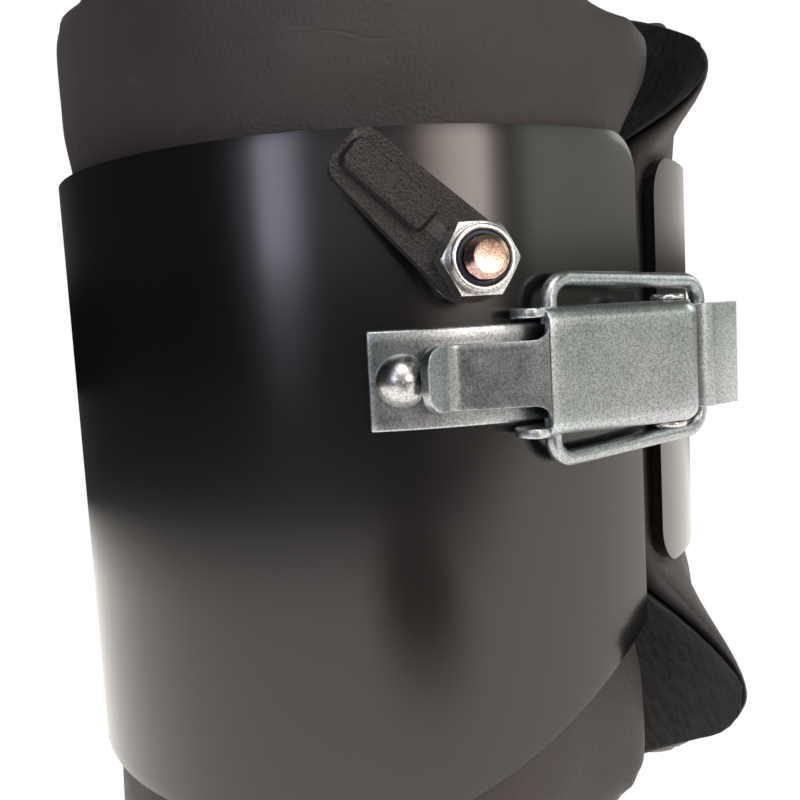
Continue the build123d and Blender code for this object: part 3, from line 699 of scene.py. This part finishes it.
# ------------------------------------------------------------------ threaded safety bolt
SAFETY_FACING = math.radians(-35.25)
SAFETY_HEIGHT = 121.6
BOLT_HEAD_SEAT = -2.4        # heights along the bolt are counted outward from the shell's surface
BOLT_HEAD = 2.4
BOLT_HEAD_RADIUS = 6.5
BOLT_HEAD_ROUNDING = 1.2
BOLT_RADIUS = 2.98
BOLT_END = 17.36
BOLT_POINT = 0.01            # radius at which each end closes
BOLT_COLUMNS = 60
THREAD_START = 12.6
THREAD_PITCH = 1.0
THREAD_DEPTH = 0.5
THREAD_STEP = 0.1
THREAD_TIP = 0.7             # length over which the thread tapers off


def thread_radius(height, turn):
    """Radius of the thread's surface at a height and a turn around the bolt."""
    wave = abs(2 * ((height / THREAD_PITCH - turn / (2 * math.pi)) % 1.0) - 1)
    tapered = BOLT_RADIUS - 0.15 - (height - (BOLT_END - THREAD_TIP))
    return min(BOLT_RADIUS - THREAD_DEPTH * wave, tapered)


def build_bolt():
    """Button head inside the pad, shank, and a real thread where it stands out of the nut."""
    head_top = BOLT_HEAD_SEAT - BOLT_HEAD
    rows = [
        (head_top, BOLT_POINT), (head_top, BOLT_HEAD_RADIUS - BOLT_HEAD_ROUNDING),
        (head_top + BOLT_HEAD_ROUNDING, BOLT_HEAD_RADIUS), (BOLT_HEAD_SEAT, BOLT_HEAD_RADIUS),
        (BOLT_HEAD_SEAT, BOLT_RADIUS), (THREAD_START, BOLT_RADIUS),
    ]
    rows += [(float(height), None) for height in np.arange(THREAD_START + THREAD_STEP, BOLT_END, THREAD_STEP)]
    rows += [
        (BOLT_END, BOLT_RADIUS - 0.75), (BOLT_END - 0.05, BOLT_RADIUS - 1.1), (BOLT_END - 0.08, BOLT_POINT),
    ]
    out = Vector((math.cos(SAFETY_FACING), math.sin(SAFETY_FACING), 0))
    tangent = Vector((-out.y, out.x, 0))
    centre = out * SHELL_RADIUS + Vector((0, 0, SAFETY_HEIGHT))
    points = []
    for height, radius in rows:
        for k in range(BOLT_COLUMNS):
            turn = 2 * math.pi * k / BOLT_COLUMNS
            here = thread_radius(height, turn) if radius is None else radius
            arm = math.cos(turn) * tangent + math.sin(turn) * Vector((0, 0, 1))
            points.append(centre + out * height + arm * here)
    faces = []
    for start in range(0, (len(rows) - 1) * BOLT_COLUMNS, BOLT_COLUMNS):
        above = start + BOLT_COLUMNS
        for k in range(BOLT_COLUMNS):
            after = (k + 1) % BOLT_COLUMNS
            faces.append((start + k, start + after, above + after, above + k))
    bolt = mesh_object("safety_bolt_threaded", points, faces)
    face_outward(bolt)
    sharp_shading(bolt, 35)
    return bolt


bolt = build_bolt()
wear(bolt, "yellow_zinc")
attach(bolt, "latch_half")
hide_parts("safety_bolt")


# ------------------------------------------------------------------ foam pads
PAD_SIDES = {"latch_pad": -1, "hook_pad": 1}
PAD_COLUMNS = 60
PAD_ROWS = 44
FOAM_INSET = 0.6             # the foam starts a little smaller, because it swells
FOAM_VOXEL = 3.2
FOAM_PRESSURE = 3.0
FOAM_STIFFNESS = 25
FOAM_FRAMES = 20
SWELL_CAP = 1.0
INNER_BAND = 1.5             # foam this close to the lining doesn't swell inward
NAP_DEPTH = 1.5
NAP_BURIED = 0.6             # how far the nap reaches into the foam
NAP_PROUD = 0.3              # how far it stands out at the rims
NAP_ROUNDING = 0.45
FLARES = {
    # pad: reach of the free corner at the latch gap (top, bottom), the turn over which it bends,
    # the height over which it opens, the foam that is left at the corner's edge, and the offset
    # into the fold pattern, so that the two pads differ
    "latch_pad": {
        "top": 10.0, "bottom": 5.0, "turn": 48, "power": 2.0, "rise": 22.0, "edge": 9.0, "folds": 0.0,
    },
    "hook_pad": {
        "top": 27.0, "bottom": 32.0, "turn": 50, "power": 1.7, "rise": 22.0, "edge": 1.4, "folds": 3.1,
    },
}
EAR_EDGE = 5.0               # a corner thinner than this is a soft ear, and doesn't swell
TOP_RISE = 0.6               # the top opens over this share of the rise
THINNING = 2.2               # how soon the foam thins towards the corner
HINGE_FLARE = 1.8            # how far the rims lean out beside the hinge
HINGE_TURN = 45
SWELLING = 1.3
FOLD_DEPTH = 0.55
CREASE_DEPTH = 0.35


def half_tube_mesh(name, side, outer, inner, inset, corners):
    """Closed half tube with rounded side corners: the foam as it is cut."""
    top_corner, bottom_corner = corners
    start = math.asin(max(PAD_EDGE + inset, 0.1) / outer)
    points = []
    for radius in (outer, inner):
        for i in range(PAD_COLUMNS + 1):
            turn = start + (math.pi - 2 * start) * i / PAD_COLUMNS
            across = PAD_OUTER * math.cos(turn)
            low = inset + corner_cut(across, PAD_OUTER, bottom_corner)
            low += unrolled_cut(turn, radius, bottom_corner / 4)
            high = PAD_HEIGHT - inset - corner_cut(across, PAD_OUTER, top_corner)
            high -= unrolled_cut(turn, radius, top_corner / 4)
            x, y = radius * math.cos(turn), side * radius * math.sin(turn)
            points += [(x, y, low + (high - low) * j / PAD_ROWS) for j in range(PAD_ROWS + 1)]

    def at(wall, i, j):
        return (wall * (PAD_COLUMNS + 1) + i) * (PAD_ROWS + 1) + j

    faces = []
    for i in range(PAD_COLUMNS):
        for j in range(PAD_ROWS):
            for wall in (0, 1):
                faces.append((at(wall, i, j), at(wall, i, j + 1), at(wall, i + 1, j + 1), at(wall, i + 1, j)))
        for j in (0, PAD_ROWS):
            faces.append((at(0, i, j), at(0, i + 1, j), at(1, i + 1, j), at(1, i, j)))
    for i in (0, PAD_COLUMNS):
        for j in range(PAD_ROWS):
            faces.append((at(0, i, j), at(0, i, j + 1), at(1, i, j + 1), at(1, i, j)))
    piece = mesh_object(name, points, faces)
    face_outward(piece)
    return piece


def remesh(piece):
    """Even small faces over the whole foam, with the steps of the voxels relaxed."""
    voxels = piece.modifiers.new("voxels", "REMESH")
    voxels.mode = "VOXEL"
    voxels.voxel_size = FOAM_VOXEL * MM
    voxels.adaptivity = 0
    relax = piece.modifiers.new("relax", "SMOOTH")
    relax.factor = 0.5
    relax.iterations = 5
    bake_modifiers(piece)


def swell(piece):
    """Inflates a foam block as cloth under pressure, and applies the result."""
    start = np.array([v.co for v in piece.data.vertices])
    cloth = piece.modifiers.new("swell", "CLOTH")
    cloth.settings.quality = 4
    cloth.settings.mass = 0.3
    cloth.settings.tension_stiffness = FOAM_STIFFNESS
    cloth.settings.compression_stiffness = FOAM_STIFFNESS
    cloth.settings.bending_stiffness = 6
    cloth.settings.use_pressure = True
    cloth.settings.uniform_pressure_force = FOAM_PRESSURE
    cloth.settings.effector_weights.gravity = 0
    cloth.point_cache.frame_start = 1
    cloth.point_cache.frame_end = FOAM_FRAMES
    for number in range(1, FOAM_FRAMES + 1):
        bpy.context.scene.frame_set(number)
    depsgraph = bpy.context.evaluated_depsgraph_get()
    moved = np.array([v.co for v in piece.evaluated_get(depsgraph).to_mesh().vertices])
    piece.modifiers.remove(cloth)
    shift = moved - start
    length = np.linalg.norm(shift, axis=1, keepdims=True)
    cap = SWELL_CAP * MM
    shift *= np.where(length > cap, cap / np.maximum(length, 1e-9), 1.0)
    moved = start + shift
    # the inner face stays on the lining
    across = np.hypot(moved[:, 0], moved[:, 1])
    inner_face = np.hypot(start[:, 0], start[:, 1]) < (PAD_INNER + INNER_BAND) * MM
    lift = np.where(inner_face, np.maximum(PAD_INNER * MM / across, 1.0), 1.0)
    moved[:, :2] *= lift[:, None]
    piece.data.vertices.foreach_set("co", moved.ravel())
    bpy.context.scene.frame_set(1)


def drape(piece, pad):
    """Bends the foam: tight inside its shell, relaxed and flared beyond it, with soft folds."""
    flare = FLARES[pad]
    shell = SHELLS[pad.replace("pad", "shell")]
    thickness = PAD_OUTER - PAD_INNER
    for vertex in piece.data.vertices:
        x, y, z = vertex.co / MM
        radius = math.hypot(x, y)
        turn = math.degrees(abs(math.atan2(y, x)))
        across = SHELL_RADIUS * x / radius
        top = shell["top"] - corner_cut(across, SHELL_RADIUS, shell["top_corner"])
        bottom = shell["bottom"] + corner_cut(across, SHELL_RADIUS, shell["bottom_corner"])
        beyond = max(z - top, bottom - z, 0.0)
        reach = flare["top"] if z > top else flare["bottom"]
        rise = flare["rise"] * (TOP_RISE if z > top else 1.0)
        opening = math.sin(min(beyond / rise, 1.0) * math.pi / 2)
        bend = max(1 - turn / flare["turn"], 0.0) ** flare["power"]
        share = (radius - PAD_INNER) / thickness
        thinning = min(bend * THINNING, 1.0) * opening
        out = reach * bend * opening
        out -= share * (thickness - flare["edge"]) * thinning
        out += HINGE_FLARE * max(1 - (180 - turn) / HINGE_TURN, 0.0) ** 2 * smooth_step(beyond, 0, 24)
        swelling = smooth_step(beyond, 0.5, 11) * (1 - thinning * (flare["edge"] < EAR_EDGE))
        fold = noise.noise(Vector((turn * 0.09, z * 0.075, flare["folds"])))
        crease = noise.noise(Vector((turn * 0.37, z * 0.34, flare["folds"] + 7.7)))
        out += share * swelling * (SWELLING + FOLD_DEPTH * fold - CREASE_DEPTH * abs(crease))
        new_radius = radius + out
        if bottom - 1 < z < top + 1:
            new_radius = min(new_radius, SHELL_RADIUS - SHELL_WALL - 0.15)
        vertex.co.x *= new_radius / radius
        vertex.co.y *= new_radius / radius


for pad, side in PAD_SIDES.items():
    body = "latch_half" if side < 0 else "hook_half"
    foam = half_tube_mesh(pad + "_foam", side, PAD_OUTER, PAD_INNER, FOAM_INSET, PAD_CORNERS[pad])
    remesh(foam)
    swell(foam)
    drape(foam, pad)
    finer = foam.modifiers.new("finer", "SUBSURF")
    finer.levels = 1
    finer.render_levels = 1
    bake_modifiers(foam)
    smooth(foam)
    wear(foam, "pad_skin")
    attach(foam, body)
    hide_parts(pad)

    nap = half_tube_mesh(
        pad + "_nap", side, PAD_INNER + NAP_BURIED, PAD_INNER - NAP_DEPTH, -NAP_PROUD, PAD_CORNERS[pad]
    )
    round_edges(nap, NAP_ROUNDING, 2, SHARP)
    bake_modifiers(nap)
    drape(nap, pad)
    smooth(nap)
    wear(nap, "pad_lining")
    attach(nap, body)
    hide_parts(pad + "_lining")


# ------------------------------------------------------------------ camera, light, floor
CAMERA_AZIMUTH = math.radians(44.3)
CAMERA_DISTANCE = 199.1      # from the leg axis
CAMERA_HEIGHT = 115.1
CAMERA_YAW = 0.0162          # these three in radians
CAMERA_PITCH = 0.0992
CAMERA_ROLL = -0.0561
LENS_MM = 40.23


def place_camera():
    """Camera on the latch's side, looking slightly down."""
    forward = Vector(
        (
            math.sin(CAMERA_YAW) * math.cos(CAMERA_PITCH),
            math.cos(CAMERA_YAW) * math.cos(CAMERA_PITCH),
            -math.sin(CAMERA_PITCH),
        )
    )
    level = Vector((math.cos(CAMERA_YAW), -math.sin(CAMERA_YAW), 0))
    above = level.cross(forward)
    right = math.cos(CAMERA_ROLL) * level + math.sin(CAMERA_ROLL) * above
    top_side = -math.sin(CAMERA_ROLL) * level + math.cos(CAMERA_ROLL) * above
    turn = Matrix.Rotation(CAMERA_AZIMUTH, 3, "Z")
    place = turn @ Vector((0, -CAMERA_DISTANCE, CAMERA_HEIGHT)) * MM
    axes = Matrix([turn @ right, turn @ top_side, turn @ -forward]).transposed()
    camera = bpy.data.objects.new("camera", bpy.data.cameras.new("camera"))
    camera.data.lens = LENS_MM
    camera.data.clip_start = 0.005
    camera.matrix_world = Matrix.Translation(place) @ axes.to_4x4()
    bpy.context.collection.objects.link(camera)
    bpy.context.scene.camera = camera


LIGHT_AIM = Vector((0, 0, 0.1))
LIGHTS = (
    # name, azimuth from the camera, distance and height in metres, size, power, colour
    ("top_light", 10, 0.9, 1.3, (0.9, 0.9), 8.0, (1.0, 0.99, 0.97)),
    ("front_fill", -12, 0.8, 0.75, (0.5, 0.35), 0.7, (0.96, 0.98, 1.0)),
    ("right_fill", 100, 1.1, 0.6, (0.5, 0.5), 1.8, (0.95, 1.0, 0.97)),
)


def soft_box(name, azimuth, distance, height, size, power, colour):
    """Area light that faces the boot."""
    lamp = bpy.data.objects.new(name, bpy.data.lights.new(name, "AREA"))
    angle = CAMERA_AZIMUTH + math.radians(azimuth)
    lamp.location = Vector((math.sin(angle) * distance, -math.cos(angle) * distance, height))
    lamp.rotation_euler = (LIGHT_AIM - lamp.location).to_track_quat("-Z", "Y").to_euler()
    lamp.data.shape = "RECTANGLE"
    lamp.data.size, lamp.data.size_y = size
    lamp.data.energy = power
    lamp.data.color = colour
    bpy.context.collection.objects.link(lamp)


# The room as the gloss paint mirrors it: radiance against azimuth from the camera, in degrees.
ROOM_SCALE = 8.0
ROOM = (
    (-180, (0.10, 0.10, 0.10)), (-120, (0.03, 0.03, 0.03)), (-50, (0.03, 0.03, 0.035)),
    (-41, (0.5, 0.5, 0.6)), (-36, (4.2, 4.2, 5.0)), (-30, (3.6, 3.6, 4.4)), (-21, (0.5, 0.48, 0.5)),
    (13, (0.55, 0.48, 0.48)), (23, (5.0, 4.3, 4.0)), (36, (8.0, 7.0, 6.4)), (41, (1.2, 1.0, 1.0)),
    (46, (0.12, 0.11, 0.13)), (55, (1.5, 1.65, 1.35)), (80, (1.1, 1.2, 1.0)), (105, (0.75, 0.70, 0.64)),
    (150, (0.75, 0.70, 0.64)), (180, (0.10, 0.10, 0.10)),
)
# The same against the height of the direction: 0 straight down, 0.5 level, 1 straight up.
ROOM_HEIGHT = (
    (0.45, 0.02), (0.515, 0.12), (0.54, 1.0), (0.63, 0.8), (0.75, 0.15), (1.0, 0.12),
)


def towards_camera(tree, direction):
    """Components of a direction, turned so that the camera looks along +Y."""
    turn = tree.nodes.new("ShaderNodeMapping")
    turn.inputs["Rotation"].default_value = (0, 0, -CAMERA_AZIMUTH)
    split = tree.nodes.new("ShaderNodeSeparateXYZ")
    link_all(tree, [(direction, turn.inputs["Vector"]), (turn.outputs["Vector"], split.inputs[0])])
    return split.outputs


def build_room():
    """White to the camera; a dark room with two soft windows to everything that mirrors it."""
    world = bpy.data.worlds.new("studio")
    bpy.context.scene.world = world
    world.use_nodes = True
    tree = world.node_tree
    background = tree.nodes["Background"]
    background.inputs["Strength"].default_value = ROOM_SCALE
    white = tree.nodes.new("ShaderNodeBackground")
    white.inputs["Color"].default_value = (1, 1, 1, 1)
    paths = tree.nodes.new("ShaderNodeLightPath")
    x, y, z = towards_camera(tree, tree.nodes.new("ShaderNodeTexCoord").outputs["Generated"])
    azimuth = math_node(tree, "ARCTAN2", x, math_node(tree, "MULTIPLY", y, -1.0))
    around = math_node(tree, "MULTIPLY_ADD", azimuth, 0.5 / math.pi, 0.5)
    stops = [((angle + 180) / 360, tuple(v / ROOM_SCALE for v in colour)) for angle, colour in ROOM]
    band = color_ramp(tree, around, stops)
    height = color_ramp(tree, math_node(tree, "MULTIPLY_ADD", z, 0.5, 0.5), ROOM_HEIGHT)
    mirrored = mix_colors(tree, 1.0, band, height, "MULTIPLY")
    chooser = tree.nodes.new("ShaderNodeMixShader")
    link_all(
        tree,
        [
            (mirrored, background.inputs["Color"]), (paths.outputs["Is Camera Ray"], chooser.inputs[0]),
            (background.outputs[0], chooser.inputs[1]), (white.outputs[0], chooser.inputs[2]),
            (chooser.outputs[0], tree.nodes["World Output"].inputs["Surface"]),
        ],
    )


TABLE_SIZE = 3.0             # metres, as all lengths of the table
TABLE_LIT = ((0.27, (0.80, 0.76, 0.72)), (0.46, (0.02, 0.02, 0.02)))     # against distance from the boot
TABLE_REACH_START = 0.14     # to the camera's right the lit part reaches further
TABLE_REACH_GAIN = -1.1
SHADE_WIDTH = 0.085
SHADE_LENGTH = 0.14
SHADE_OFFSET = (-0.4, 2.15)  # in widths and lengths
SHADE = ((0.45, (0.12, 0.08, 0.08)), (1.0, (1.0, 1.0, 1.0)))             # dark spot that the paint mirrors
TABLE_GLOW = 1.1
TABLE_WHITE = 1.04
TABLE_WHITE_SHARE = 0.97     # the rest shows the boot's contact shadow


def build_floor():
    """Pale table: white to the camera, and mirrored only near the boot, as in a dark room."""
    bpy.ops.mesh.primitive_grid_add(x_subdivisions=24, y_subdivisions=24, size=TABLE_SIZE, location=(0, 0, 0))
    floor = bpy.context.object
    floor.name = "floor"
    look = Look("pale_table", roughness=0.8)
    tree = look.tree
    x, y, _ = towards_camera(tree, look.place)
    to_the_right = math_node(tree, "MAXIMUM", x, 0.0)
    far_right = math_node(tree, "MAXIMUM", math_node(tree, "ADD", to_the_right, -TABLE_REACH_START), 0.0)
    reach = math_node(tree, "MULTIPLY_ADD", far_right, TABLE_REACH_GAIN, distance(tree, x, y))
    lit = color_ramp(tree, reach, TABLE_LIT)
    across = math_node(tree, "MULTIPLY_ADD", x, 1 / SHADE_WIDTH, SHADE_OFFSET[0])
    ahead = math_node(tree, "MULTIPLY_ADD", y, 1 / SHADE_LENGTH, SHADE_OFFSET[1])
    shade = color_ramp(tree, distance(tree, across, ahead), SHADE)
    # Painted light for mirrored rays: a glowing pool near the boot that fades to dark, times a painted
    # shadow.
    painted_glow_and_shadow = look.mix(1.0, lit, shade, "MULTIPLY")
    look.link(painted_glow_and_shadow, "Base Color")
    look.link(painted_glow_and_shadow, "Emission Color")
    look.set(Emission_Strength=TABLE_GLOW)
    glow = tree.nodes.new("ShaderNodeEmission")
    glow.inputs["Color"].default_value = (1, 1, 1, 1)
    glow.inputs["Strength"].default_value = TABLE_WHITE
    paths = tree.nodes.new("ShaderNodeLightPath")
    visible = math_node(tree, "MULTIPLY", paths.outputs["Is Camera Ray"], TABLE_WHITE_SHARE)
    chooser = tree.nodes.new("ShaderNodeMixShader")
    link_all(
        tree,
        [
            (visible, chooser.inputs[0]), (look.shader.outputs[0], chooser.inputs[1]),
            (glow.outputs[0], chooser.inputs[2]),
            (chooser.outputs[0], tree.nodes["Material Output"].inputs["Surface"]),
        ],
    )
    floor.data.materials.append(look.material)


place_camera()
for light in LIGHTS:
    soft_box(*light)
build_room()
build_floor()

bpy.context.scene.view_settings.view_transform = "Standard"
